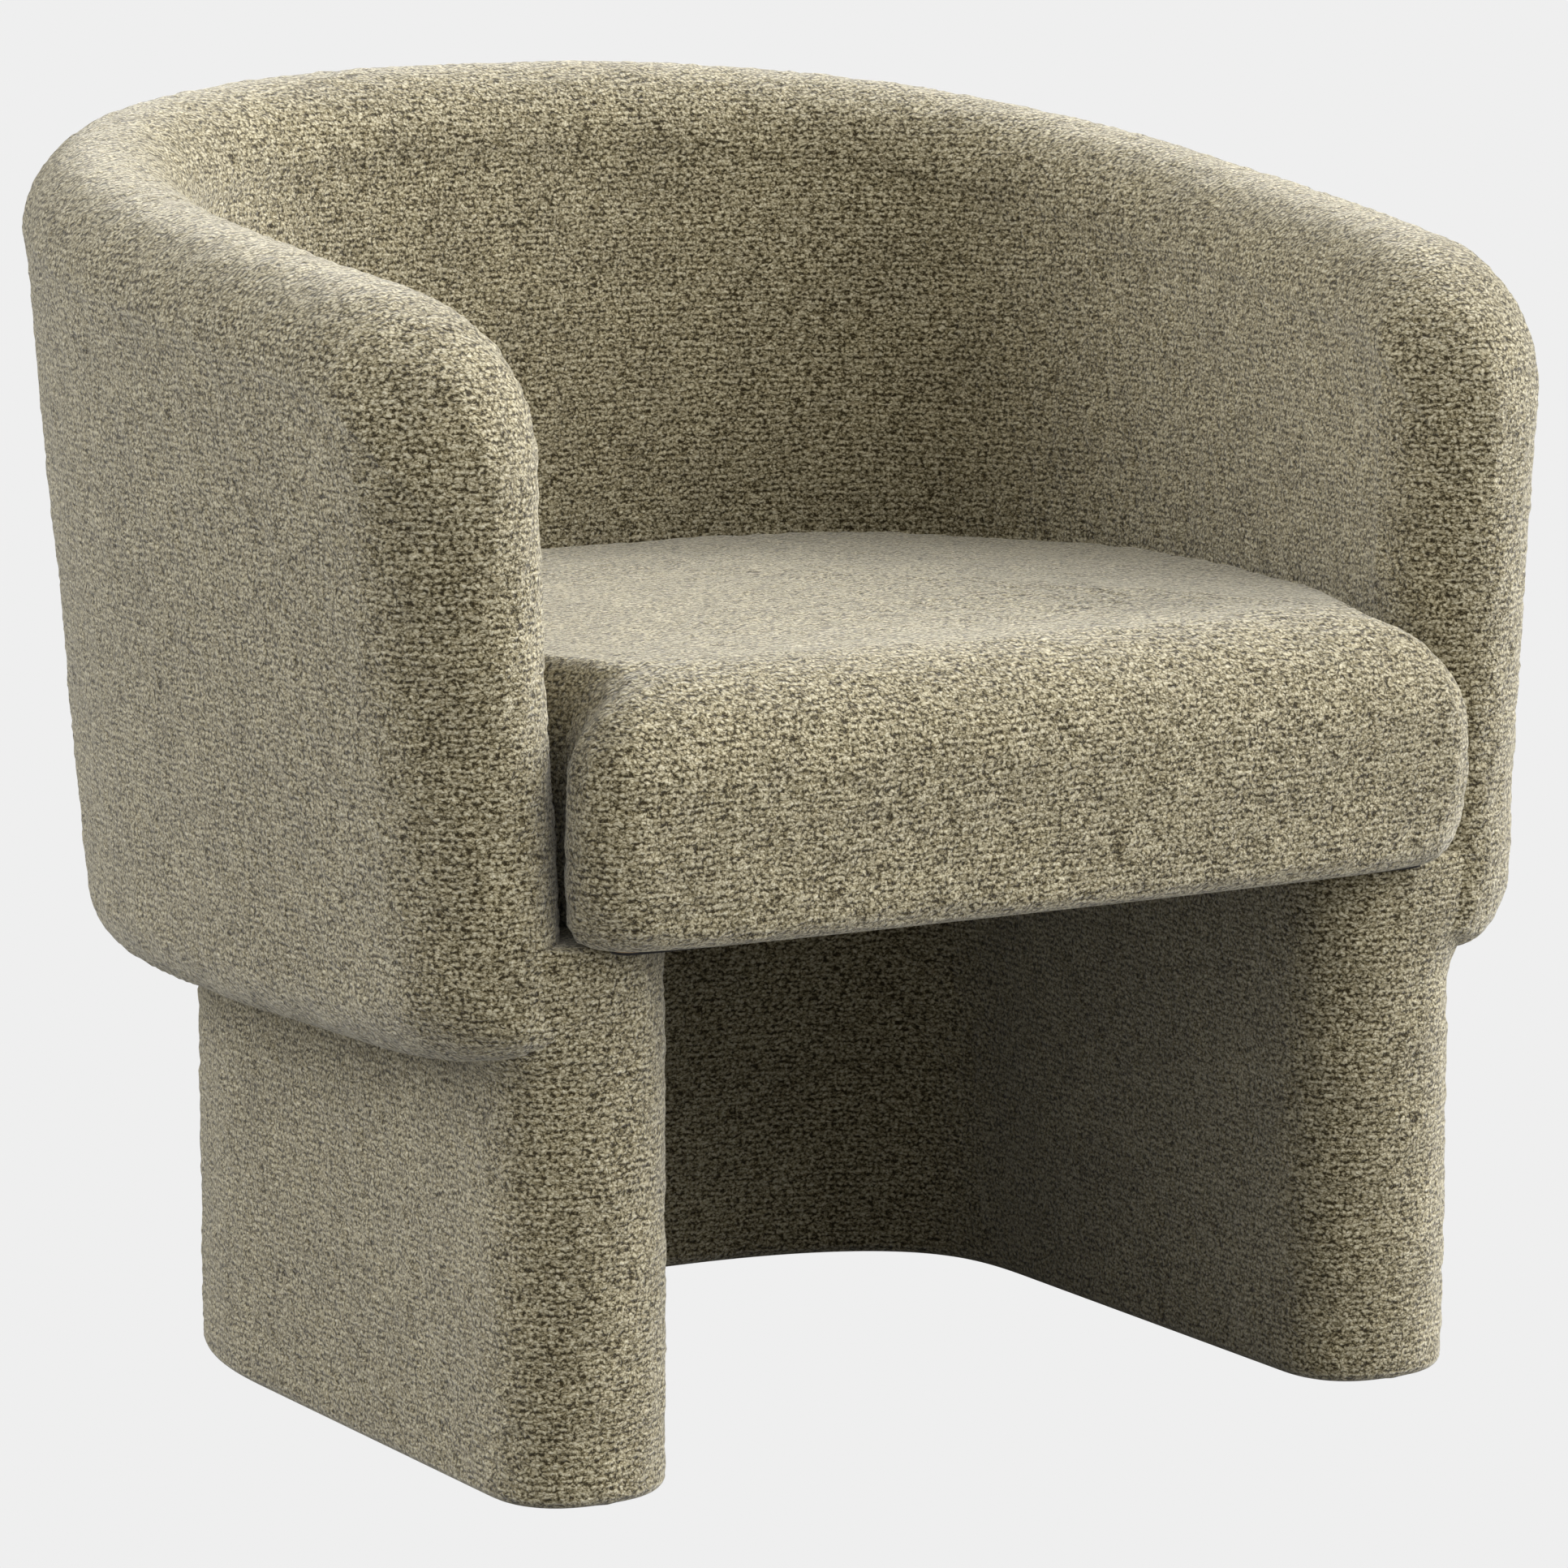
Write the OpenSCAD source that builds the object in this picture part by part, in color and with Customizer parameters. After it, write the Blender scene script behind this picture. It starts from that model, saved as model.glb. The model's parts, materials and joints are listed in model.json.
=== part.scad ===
/* [Overall] */
// Width across the arms at the rim
chair_width = 780; // [740:10:820]
// Depth from the seat front to the outside back
chair_depth = 676; // [660:2:700]
// Height of the rim at the middle of the back
chair_height = 700; // [680:5:730]
// Height of the rim at the front of each arm, before its corner is rounded
arm_height = 610; // [590:5:630]
// Height of the tub's underside above the floor
tub_underside = 227; // [215:1:235]

/* [Tub wall] */
// Wall thickness at the arm fronts, at rim level
arm_wall = 102; // [96:1:108]
// Wall thickness at the middle of the back, at rim level
back_wall = 92; // [86:1:100]
// How far the outside leans in for each millimetre down
outside_lean = 0.08; // [0.06:0.01:0.09]
// How far the inside leans in for each millimetre down
inside_lean = 0.03; // [0.02:0.01:0.04]
// How far the arm fronts run forward for each millimetre down
nose_lean = 0.03; // [0:0.01:0.04]
// How much closer together the arms are at their fronts, on each side
toe_in = 23; // [15:1:28]
// Distance from the seat front back to the arm fronts, at rim level
arm_setback = 54; // [50:1:60]
// Where the straight arms end and the round back starts, from the middle
back_start = -36; // [-45:1:-30]
// Squareness of the back curve, 2 being an ellipse
back_power = 2.6; // [2.4:0.1:2.8]
// Radius of the arm's top front corner, seen from the side
arm_corner = 88; // [80:1:95]
// Radius of the outside bottom edge
under_edge = 37; // [32:1:40]

/* [Base] */
// Width across the outside of the base
base_width = 590; // [584:2:592]
// Thickness of the base wall
base_wall = 94; // [90:1:98]
// Distance from the seat front back to the base front
base_setback = 44; // [42:1:50]
// Distance from the chair's back forward to the back of the base
base_tuck = 110; // [105:1:120]
// Squareness of the base curve
base_power = 2.5; // [2.4:0.1:2.7]
// Height of the top of the base
base_top = 284; // [282:1:286]

/* [Seat] */
// Height of the seat's underside
seat_underside = 287; // [287:1:289]
// Height of the seat's top
seat_top = 430; // [420:1:440]
// Radius of the seat's top edge
seat_roll = 60; // [50:1:70]
// Radius of the seat's bottom edge
seat_tuck = 20; // [16:1:20]
// Radius of the seat's front corners, seen from above
seat_corner = 30; // [26:1:34]
// How far the middle of the seat front stands out beyond its corners
seat_bow = 5; // [2:1:8]

/* [Layers] */
// Thickness of the upholstery cloth
cloth = 3; // [2.5:0.5:3]
// Thickness of the wadding on the outside of the tub
wadding = 11.6; // [10:0.2:11.8]
// Thickness of the foam on the inside of the tub
back_foam = 24.6; // [20:0.2:26]
// Thickness of the plywood boards
board = 18; // [15:1:18]
// Thickness of the bent plywood panels
panel = 3.8; // [3:0.1:4]

/* [Hidden] */
gap = 0.2;
front_y = -chair_depth / 2;
rim_tuck = 2.53;
back_y = chair_depth / 2 + rim_tuck;
arm_front_y = front_y + arm_setback;
base_front_y = front_y + base_setback;
base_half = base_width / 2;
base_start = 8;
base_nose_y = base_front_y + base_wall / 2;
base_nose_x = base_half - base_wall / 2;
// One curve is [half width, toe-in, front, where the back starts, back depth, squareness]
tub_curve = [chair_width / 2, toe_in, arm_front_y, back_start, back_y - back_start, back_power];
base_curve = [base_half, 0, base_nose_y, base_start, back_y - base_tuck - base_start, base_power];
panel_in = cloth + wadding + 2 * gap;
frame_in = panel_in + panel + gap;
liner_out = cloth + back_foam + 2 * gap;
frame_out = liner_out + panel + gap;
rim_drop = 42;
rim_foam_in = cloth + 1.2;
seat_foam_in = cloth + 10.5;
rail_drop = rim_drop + 36;
deck_z = base_top - board;
sill_z = base_top + gap;
sill_top = sill_z + board;
post_depth = 46;
arm_foam_y = arm_front_y + 36;
skirt_top = deck_z - gap;
rail_z = skirt_top - board;
base_skin = cloth + 9 + gap;
base_core = base_skin + 3 + gap;
base_floor = 8;
base_post_y = base_front_y + 70;
rib_at = [-1.45, -1.15, -0.8, -0.5, -0.17, 0.17, 0.5, 0.8, 1.15, 1.45];
stud_at = [-1.35, -0.9, -0.6, -0.3, 0.3, 0.6, 0.9, 1.35];
bolt_at = [-0.85, -0.42, 0.42, 0.85];
bolt_r = 4;
rail_in = outside_in(deck_z) + frame_in;
bolt_in = rail_in + 11;
seat_level = 320;
frame_inset = 21;
frame_top = 325;
frame_band = 44;
spring_z = frame_top + 4;
wire_r = 2;
felt_z = spring_z + wire_r + 3.5;
felt_top = felt_z + 1.8;
spring_front = front_y + 62;
spring_back = 172;
bracket_x = 50;
bracket_y = 127.6;
bracket_z = seat_underside + 1.4;
glide_at = [[-base_nose_x, base_front_y + 40], [base_nose_x, base_front_y + 40],
    [-base_nose_x, 20], [base_nose_x, 20], [-95, 174], [95, 174]];
dowel_at = [[-222, base_front_y + 56], [222, base_front_y + 56]];
dowel_r = 4;

// A place along a U-shaped wall: -2 is the left arm front, -1 to 1 the back, 2 the right arm front
function arm_share(s) = max(abs(s) - 1, 0);
function turn(s) = 90 - 90 * max(-1, min(1, s));
function place(c, s) = abs(s) > 1
    ? [sign(s) * (c[0] - c[1] * pow(arm_share(s), 2)), c[3] - arm_share(s) * (c[3] - c[2])]
    : [sign(s) * c[0] * pow(abs(cos(turn(s))), 2 / c[5]), c[3] + c[4] * pow(sin(turn(s)), 2 / c[5])];
function unit(v) = v / norm(v);
function outward(c, s) = abs(s) >= 1 ? [sign(s), 0]
    : unit([sign(s) * pow(abs(cos(turn(s))), 2 - 2 / c[5]) / c[0],
        pow(sin(turn(s)), 2 - 2 / c[5]) / c[4]]);
function inset(c, s, d) = place(c, s) - d * outward(c, s);
function blend(s) = pow(cos(45 * min(abs(s), 2)), 2);
function wall_at(s) = arm_wall + (back_wall - arm_wall) * blend(s);
function down(z) = chair_height - z;
function outside_in(z) = outside_lean * down(z);
function inside_in(s, z) = wall_at(s) + inside_lean * down(z);
function span(a, b, n) = [for (i = [0:n]) a + (b - a) * i / n];

// Closed outline of a U-shaped board between two insets that may follow different curves
function board_outline(c1, d1, c2, d2, reach, n) = concat(
    [for (s = span(-reach, reach, n)) inset(c1, s, d1)],
    [for (s = span(reach, -reach, n)) inset(c2, s, d2)]);

// Height of the tub's rim: highest at the back, falling to the arm fronts, with a round front corner
function rim_fall(y) = pow(max(0, min(1, (back_y - y) / (back_y - arm_front_y))), 0.82);
function corner_fall(y, e) = let(r = arm_corner - e, t = min(r, max(0, y - arm_front_y - e)))
    r - sqrt(r * r - (r - t) * (r - t));
function rim_at(y, e) = chair_height - (chair_height - arm_height) * rim_fall(y)
    - e - corner_fall(y, e);

// Share of the wall's thickness that is left where the arm front rounds off in plan
function nose_share(y, e) = let(r = arm_wall / 2 - e, t = min(r, max(0.4, y - arm_front_y - e)))
    sqrt(1 - pow(1 - t / r, 2));

// Stations of the tub's lofts: close together round the arm fronts, then even along the wall
function front_stations(e) = [for (k = [0:9]) arm_front_y + e + (arm_corner - e) * (1 - cos(10 * k))];
function to_station(y) = 1 + (back_start - y) / (back_start - arm_front_y);
arc_stations = concat(span(0, 1, 13), [to_station(-90), to_station(-145)]);
layer_end = to_station(arm_front_y + arm_corner);
function right_half(e) = concat(arc_stations,
    [for (k = [9:-1:0]) to_station(front_stations(e)[k])]);
function both_sides(half) = concat([for (i = [len(half) - 1:-1:1]) -half[i]], half);

// A point of the leaning tub wall at a station, from its inset and height
function tub_point(s, d, z) = let(p = inset(tub_curve, s, d))
    [p[0], p[1] - nose_lean * down(z) * arm_share(s), z];

// Section of the whole padded wall: round underside, outside face, round rim, inside face
function wall_section(s, e) = let(
    y = place(tub_curve, s)[1],
    z_low = tub_underside + e,
    r_low = under_edge - e,
    top = rim_at(y, e),
    half = (inside_in(s, top) - outside_in(top)) / 2 - e,
    round_z = top - half,
    share = nose_share(y, e),
    raw = concat(
        [[inside_in(s, z_low) - e, z_low]],
        [for (a = [-90:-30:-180])
            [outside_in(z_low + r_low) + e + r_low + r_low * cos(a), z_low + r_low + r_low * sin(a)]],
        [for (a = [180:-22.5:0])
            [(outside_in(round_z) + inside_in(s, round_z)) / 2 + half * cos(a), round_z + half * sin(a)]]),
    mid = function(z) (outside_in(z) + inside_in(s, z)) / 2)
    [for (p = raw) tub_point(s, mid(p[1]) + (p[0] - mid(p[1])) * share, p[1])];

// Section of the foam roll under the rim, flat below
function rim_section(s, e) = let(
    y = place(tub_curve, s)[1],
    top = rim_at(y, e),
    half = (inside_in(s, top) - outside_in(top)) / 2 - e,
    round_z = top - half,
    middle = (outside_in(round_z) + inside_in(s, round_z)) / 2,
    low = asin((rim_at(y, 0) - rim_drop + 1.5 - round_z) / half))
    [for (a = span(180 - low, low, 8)) tub_point(s, middle + half * cos(a), round_z + half * sin(a))];

// Section of a plain layer in the wall: [side, distance in from that side, measured from, height]
function layer_section(s, corners) = let(y = place(tub_curve, s)[1])
    [for (k = corners) let(z = k[2] == "rim" ? rim_at(y, 0) - k[3] : k[3])
        tub_point(s, k[0] == "out" ? outside_in(z) + k[1] : inside_in(s, z) - k[1], z)];

module loft(rings) {
    m = len(rings[0]);
    n = len(rings);
    polyhedron(
        [for (r = rings) each r],
        concat(
            [[for (j = [0:m - 1]) j]],
            [for (i = [0:n - 2], j = [0:m - 1]) [i * m + j, (i + 1) * m + j, (i + 1) * m + (j + 1) % m]],
            [for (i = [0:n - 2], j = [0:m - 1])
                [i * m + j, (i + 1) * m + (j + 1) % m, i * m + (j + 1) % m]],
            [[for (j = [m - 1:-1:0]) (n - 1) * m + j]]));
}

module padded_wall(e) {
    loft([for (s = both_sides(right_half(e))) wall_section(s, e)]);
}

module wall_layer(corners, reach) {
    loft([for (s = both_sides(concat(arc_stations, [reach]))) layer_section(s, corners)]);
}

module tub_board(c_in, d_out, d_in, z, reach) {
    translate([0, 0, z])
        linear_extrude(board)
            polygon(board_outline(tub_curve, d_out, c_in, d_in, reach, 48));
}

// Outline of the base wall with round fronts, inset all round by e
function base_outline(e) = let(r = base_wall / 2 - e) concat(
    [for (s = span(-2, 2, 48)) inset(base_curve, s, e)],
    [for (a = span(0, -180, 12)) [base_nose_x + r * cos(a), base_nose_y + r * sin(a)]],
    [for (s = span(2, -2, 48)) inset(base_curve, s, base_wall - e)],
    [for (a = span(0, -180, 12)) [-base_nose_x + r * cos(a), base_nose_y + r * sin(a)]]);

module base_band(e, z_low, z_high) {
    translate([0, 0, z_low])
        linear_extrude(z_high - z_low)
            polygon(base_outline(e));
}

// The whole space inside the base's outside face, which the tub stands clear of
module base_space(clear, z_high) {
    r = base_wall / 2 + clear;
    translate([0, 0, -10])
        linear_extrude(z_high + 10)
            polygon(concat(
                [for (s = span(-2, 2, 48)) inset(base_curve, s, -clear)],
                [for (a = span(0, -90, 6)) [base_nose_x + r * cos(a), base_nose_y + r * sin(a)]],
                [for (a = span(-90, -180, 6)) [-base_nose_x + r * cos(a), base_nose_y + r * sin(a)]]));
}

module at_each(places, z) {
    for (p = places)
        translate([p[0], p[1], z])
            children();
}

// Stands its children along a wall, turned to face outward
module along(c, places, d, z) {
    for (s = places)
        translate([inset(c, s, d)[0], inset(c, s, d)[1], z])
            rotate([0, 0, atan2(outward(c, s)[1], outward(c, s)[0])])
                children();
}

module bracket_bores(r, length) {
    for (x = [-bracket_x, bracket_x])
        translate([x, bracket_y - 1, 248])
            rotate([-90, 0, 0])
                cylinder(r = r, h = length, $fn = 24);
}

module floor_glides() {
    color("dimgray")
        at_each(glide_at, 0)
            difference() {
                union() {
                    cylinder(r = 13, h = 3, $fn = 40);
                    cylinder(r = 10, h = base_floor - 1.2, $fn = 40);
                }
                translate([0, 0, -1])
                    cylinder(r = 2.2, h = 12, $fn = 24);
                translate([0, 0, -1])
                    cylinder(r = 5, h = 5.2, $fn = 24);
            }
}

module glide_screws() {
    color("silver")
        at_each(glide_at, 2.1) {
            cylinder(r = 2, h = 20, $fn = 24);
            cylinder(r = 4, h = 2, $fn = 24);
        }
}

module base_bottom_board() {
    color("burlywood")
        difference() {
            base_band(base_core, base_floor, base_floor + board);
            at_each(glide_at, 0)
                cylinder(r = 2.1, h = 60, $fn = 24);
        }
}

module base_studs() {
    low = base_floor + board + gap;
    depth = base_wall - 2 * base_core - 4;
    color("tan")
        along(base_curve, stud_at, base_wall / 2, low)
            translate([-depth / 2, -15, 0])
                cube([depth, 30, deck_z - gap - low]);
}

// Half-round timber that shapes one front edge of the base
module base_post(side) {
    low = base_floor + board + gap;
    color("tan")
        difference() {
            intersection() {
                base_band(base_core, low, base_top - cloth);
                translate([side * 250 - 60, base_front_y, 0])
                    cube([120, base_post_y - base_front_y - gap, 400]);
            }
            at_each(dowel_at, base_top - 40)
                cylinder(r = dowel_r + 0.1, h = 60, $fn = 32);
        }
}

module left_base_post() {
    base_post(-1);
}

module right_base_post() {
    base_post(1);
}

module base_rear_block() {
    color("tan")
        difference() {
            translate([-78, base_curve[3] + base_curve[4] - base_wall + base_core + 4, 210])
                cube([156, 36, deck_z - 210 - gap]);
            bracket_bores(2, 42);
        }
}

module base_panel(d) {
    translate([0, 0, base_floor + board + gap])
        linear_extrude(deck_z - base_floor - board - 2 * gap)
            polygon(board_outline(base_curve, d, base_curve, d + 3, 22 / 12, 44));
}

module base_outer_panel() {
    color("peru")
        base_panel(base_skin + gap);
}

module base_inner_panel() {
    color("peru")
        difference() {
            base_panel(base_wall - base_skin - 3 - gap);
            bracket_bores(2.2, 42);
        }
}

// The deck board's place in the base wall, where the cover and padding are cut away
module deck_slot() {
    translate([0, 0, deck_z - gap])
        linear_extrude(40)
            polygon(board_outline(base_curve, -20, base_curve, base_wall - base_skin, 23 / 12, 46));
}

module base_padding() {
    color("khaki")
        difference() {
            base_band(cloth + gap, base_floor, base_top - cloth);
            base_band(base_skin, base_floor - 1, base_top + 1);
            deck_slot();
            bracket_bores(2.4, 42);
        }
}

module base_bottom_cloth() {
    color("#222222")
        difference() {
            base_band(cloth + gap, base_floor - 1.1, base_floor - 0.1);
            at_each(glide_at, 0)
                cylinder(r = 2.4, h = 20, $fn = 24);
        }
}

module base_cover() {
    color("#b0a890")
        difference() {
            base_band(0, 2, base_top);
            base_band(cloth, 1, base_top + 1);
            deck_slot();
            bracket_bores(2.4, 42);
        }
}

module deck_board() {
    color("burlywood")
        difference() {
            tub_board(base_curve, rail_in + 1, base_wall - base_skin - 1, deck_z, 1.65);
            along(tub_curve, bolt_at, bolt_in, 200)
                cylinder(r = bolt_r + 0.1, h = 200, $fn = 32);
        }
}

module tub_lower_rail() {
    color("burlywood")
        difference() {
            tub_board(base_curve, outside_in(rail_z) + frame_in + 1, -2.5, rail_z, 1.65);
            along(tub_curve, bolt_at, bolt_in, 200)
                cylinder(r = bolt_r + 0.1, h = 200, $fn = 32);
        }
}

// The inside edge of the sill follows the wall's own thickness
module tub_sill() {
    d_out = outside_in(sill_z) + frame_in + 1;
    color("burlywood")
        translate([0, 0, sill_z])
            difference() {
                linear_extrude(board)
                    polygon(concat(
                        [for (s = span(-1.75, 1.75, 48)) inset(tub_curve, s, d_out)],
                        [for (s = span(1.75, -1.75, 48))
                            inset(tub_curve, s, inside_in(s, sill_top) - frame_out)]));
                along(tub_curve, bolt_at, bolt_in, -1)
                    cylinder(r = bolt_r + 0.1, h = 60, $fn = 32);
            }
}

module tub_bolts() {
    low = rail_z - 2;
    color("silver")
        along(tub_curve, bolt_at, bolt_in, low) {
            cylinder(r = bolt_r, h = sill_top - low + 8, $fn = 32);
            translate([0, 0, -5])
                cylinder(r = 6.5, h = 5, $fn = 6);
        }
}

module tub_washers() {
    color("silver")
        along(tub_curve, bolt_at, bolt_in, rail_z - 1.8)
            difference() {
                cylinder(r = 8, h = 1.6, $fn = 40);
                translate([0, 0, -1])
                    cylinder(r = bolt_r + 0.3, h = 4, $fn = 32);
            }
}

module tub_barrel_nuts() {
    color("silver")
        along(tub_curve, bolt_at, bolt_in, sill_top + gap)
            difference() {
                cylinder(r = 7.5, h = 6.5, $fn = 6);
                translate([0, 0, -1])
                    cylinder(r = bolt_r + 0.02, h = 9, $fn = 32);
            }
}

// Upright timbers that carry the rim
module tub_ribs() {
    color("tan")
        for (s = rib_at)
            let(y = place(tub_curve, s)[1], high = rim_at(y, 0) - rail_drop - 4,
                d1 = outside_in(sill_top) + frame_in + 1,
                d2 = inside_in(s, high) - frame_out - 3)
            along(tub_curve, [s], (d1 + d2) / 2, sill_top + gap)
                translate([-(d2 - d1) / 2, -14, 0])
                    cube([d2 - d1, 28, high - sill_top - gap]);
}

// Upright timber just behind one arm front
module arm_post(side) {
    y_low = arm_front_y + 40;
    high = rim_at(y_low, 0) - 30;
    s = 1 + (back_start - y_low) / (back_start - arm_front_y);
    x_out = inset(tub_curve, s, outside_in(tub_underside + 60) + frame_in + 1)[0];
    x_in = inset(tub_curve, s, inside_in(s, high) - frame_out)[0];
    color("tan")
        translate([side > 0 ? x_in : -x_out, y_low, sill_top + gap])
            cube([x_out - x_in, post_depth - 14, high - sill_top - 8]);
}

module left_arm_post() {
    arm_post(-1);
}

module right_arm_post() {
    arm_post(1);
}

module tub_top_rail() {
    color("tan")
        wall_layer([["out", frame_in + 1, "rim", rail_drop], ["out", frame_in + 1, "rim", rim_drop],
            ["in", frame_out + 1, "rim", rim_drop], ["in", frame_out + 1, "rim", rail_drop]], layer_end);
}

module tub_outer_panel() {
    color("peru")
        wall_layer([["out", panel_in, "height", rail_z + 20], ["out", panel_in, "rim", rim_drop],
            ["out", panel_in + panel, "rim", rim_drop],
            ["out", panel_in + panel, "height", rail_z + 20]], layer_end);
}

module tub_inner_panel() {
    color("peru")
        wall_layer([["in", liner_out + panel, "height", sill_top + 1],
            ["in", liner_out + panel, "rim", rim_drop],
            ["in", liner_out, "rim", rim_drop], ["in", liner_out, "height", sill_top + 1]], layer_end);
}

module outside_wadding() {
    color("white")
        wall_layer([["out", cloth + 0.6, "height", skirt_top + 6], ["out", cloth + 0.6, "rim", rim_drop],
            ["out", cloth + wadding, "rim", rim_drop],
            ["out", cloth + wadding, "height", skirt_top + 6]], layer_end);
}

module inside_foam() {
    color("khaki")
        wall_layer([["in", cloth + back_foam, "height", base_top + 8],
            ["in", cloth + back_foam, "rim", rim_drop],
            ["in", cloth + gap, "rim", rim_drop], ["in", cloth + gap, "height", base_top + 8]], layer_end);
}

// The foam roll that rounds the rim, open below for the rail
module rim_foam() {
    color("khaki")
        loft([for (s = both_sides(concat(arc_stations, [layer_end]))) rim_section(s, rim_foam_in)]);
}

// The foam that rounds one arm front
module arm_foam(side) {
    color("khaki")
        difference() {
            intersection() {
                padded_wall(cloth + gap);
                translate([side > 0 ? 200 : -450, front_y, skirt_top + 6])
                    cube([250, arm_foam_y - front_y, 500]);
            }
            base_space(2, seat_underside + 4);
        }
}

module left_arm_foam() {
    arm_foam(-1);
}

module right_arm_foam() {
    arm_foam(1);
}

// The foam that rounds the tub's lower edge outside the base
module skirt_foam() {
    color("khaki")
        difference() {
            padded_wall(cloth + gap);
            base_space(2, seat_underside + 40);
            translate([0, 0, rail_z - 16])
                linear_extrude(100)
                    polygon(board_outline(tub_curve, outside_in(skirt_top) + panel_in - 2,
                        base_curve, 40, 1.72, 48));
            translate([-500, -500, skirt_top + 5.8])
                cube([1000, 1000, 600]);
        }
}

module tub_cover() {
    color("#b0a890")
        difference() {
            padded_wall(0);
            padded_wall(cloth);
            base_space(1, seat_underside + 0.4);
            translate([0, 0, rail_z - 1])
                linear_extrude(seat_underside + 1.4 - rail_z)
                    polygon(board_outline(tub_curve, rail_in, base_curve, 40, 1.72, 48));
        }
}

// Centre and radius of the arm front at the height where the seat meets it
nose_r = (inside_in(2, seat_level) - outside_in(seat_level)) / 2;
nose_x = tub_curve[0] - toe_in - outside_in(seat_level) - nose_r;
nose_y = arm_front_y - nose_lean * down(seat_level) + nose_r;
// The seat's outline moved in by d: along the tub's inside, round the arm front, round the corner,
// and across the bowed front. The corner turns sharp where it moves in past its own radius.
function seat_right(d) = let(
    r = max(seat_corner - d, 3),
    nose = nose_r + 1.2 + d,
    corner_y = front_y + seat_bow + d + r,
    rise = nose_y - corner_y,
    corner_x = nose_x - sqrt(pow(nose + r, 2) - rise * rise),
    bend = asin(rise / (nose + r)))
    concat(
        [for (s = span(0, 1, 11)) inset(tub_curve, s, inside_in(s, seat_level) + 1.2 + d)],
        [for (s = [1.3, 1.6]) inset(tub_curve, s, inside_in(s, seat_level) + 1.2 + d)],
        [for (a = span(0, bend, 4)) [nose_x - nose * cos(a), nose_y - nose * sin(a)]],
        [for (a = span(bend - (bend + 90) / 8, -90, 7)) [corner_x + r * cos(a), corner_y + r * sin(a)]],
        [for (k = [4:-1:0]) let(x = corner_x * k / 5) [x, front_y + d + seat_bow * pow(x / corner_x, 2)]]);
function seat_inset(d) = let(r = seat_right(d), n = len(r))
    concat(r, [for (i = [n - 2:-1:1]) [-r[i][0], r[i][1]]]);

function stacked(outline, z) = [for (k = [len(outline) - 1:-1:0]) [outline[k][0], outline[k][1], z]];
function reversed(rings) = [for (i = [len(rings) - 1:-1:0]) rings[i]];

// A cushion's skin from its underside up to its top, moved in all round by e
function cushion_rings(e) = let(low = seat_tuck - e, high = seat_roll - e) concat(
    [for (a = span(90, 0, 4))
        stacked(seat_inset(e + low * (1 - cos(a))), seat_underside + e + low * (1 - sin(a)))],
    [for (a = span(0, 90, 6))
        stacked(seat_inset(e + high * (1 - cos(a))), seat_top - e - high * (1 - sin(a)))]);

// The edge of the opening below, where the seat frame goes in
function opening_ring(z) = stacked(seat_inset(frame_inset - gap), z);

// A cushion layer that is open below: first its inside, from the top down, then its outside
module cushion_layer(inside, e) {
    loft(concat(inside, [opening_ring(seat_underside + e)], cushion_rings(e)));
}

function lining_rings(e) = concat(reversed(cushion_rings(e)), [opening_ring(seat_underside + e)]);

module seat_slab(d, z_low, z_high) {
    translate([0, 0, z_low])
        linear_extrude(z_high - z_low)
            polygon(seat_inset(d));
}

module seat_frame() {
    color("tan")
        difference() {
            seat_slab(frame_inset, seat_underside + 3, frame_top);
            seat_slab(frame_inset + frame_band, seat_underside, frame_top + 1);
            at_each(dowel_at, seat_underside)
                cylinder(r = dowel_r + 0.1, h = 22, $fn = 32);
            for (x = [-bracket_x, bracket_x])
                translate([x, bracket_y - 22, 270])
                    cylinder(r = 2, h = 60, $fn = 24);
        }
}

spring_rows = [-128, -64, 0, 64, 128];

module spring_clip() {
    translate([-9, -7, 0])
        cube([18, 14, 1.6]);
    translate([-9, -7, 1.4])
        cube([18, 1.5, 6.2]);
    translate([-9, -7, 6.2])
        cube([18, 10, 1.4]);
}

module spring_clips() {
    color("silver")
        for (x = spring_rows) {
            translate([x, spring_front - 8, frame_top + gap])
                spring_clip();
            translate([x, spring_back + 8, frame_top + gap])
                rotate([0, 0, 180])
                    spring_clip();
        }
}

// One wave spring: a wire that swings from side to side as it runs from front to back
function wave(t, x) =
    [x + 19 * sin(360 * 7 * t), spring_front + (spring_back - spring_front) * t, spring_z];

module wire(points) {
    n = len(points);
    loft([for (i = [0:n - 1])
        let(d = unit(points[min(i + 1, n - 1)] - points[max(i - 1, 0)]), side = [d[1], -d[0], 0])
            [for (a = [0:60:300]) points[i] + wire_r * (side * cos(a) - [0, 0, 1] * sin(a))]]);
}

module seat_springs() {
    color("slategray")
        for (x = spring_rows)
            wire([for (t = span(0, 1, 42)) wave(t, x)]);
}

module spring_tie_rods() {
    color("slategray")
        for (y = [-150, 20])
            translate([-168, y, spring_z + wire_r + 1.4])
                rotate([0, 90, 0])
                    cylinder(r = 1.2, h = 336, $fn = 16);
}

module spring_felt() {
    color("gray")
        seat_slab(frame_inset + 1, felt_z, felt_top);
}

module seat_foam() {
    color("khaki")
        cushion_layer([opening_ring(felt_top + gap)], seat_foam_in);
}

module seat_wadding() {
    color("white")
        cushion_layer(lining_rings(seat_foam_in - 3 * gap), cloth + 3 * gap);
}

module seat_cover() {
    color("#b0a890")
        cushion_layer(lining_rings(cloth), 0);
}

module seat_bottom_cloth() {
    color("#222222")
        difference() {
            seat_slab(frame_inset + gap, seat_underside + 1.6, seat_underside + 2.8);
            at_each(dowel_at, seat_underside)
                cylinder(r = dowel_r + 1, h = 22, $fn = 32);
            for (x = [-bracket_x, bracket_x])
                translate([x, bracket_y - 22, 270])
                    cylinder(r = 2.4, h = 60, $fn = 24);
        }
}

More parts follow.
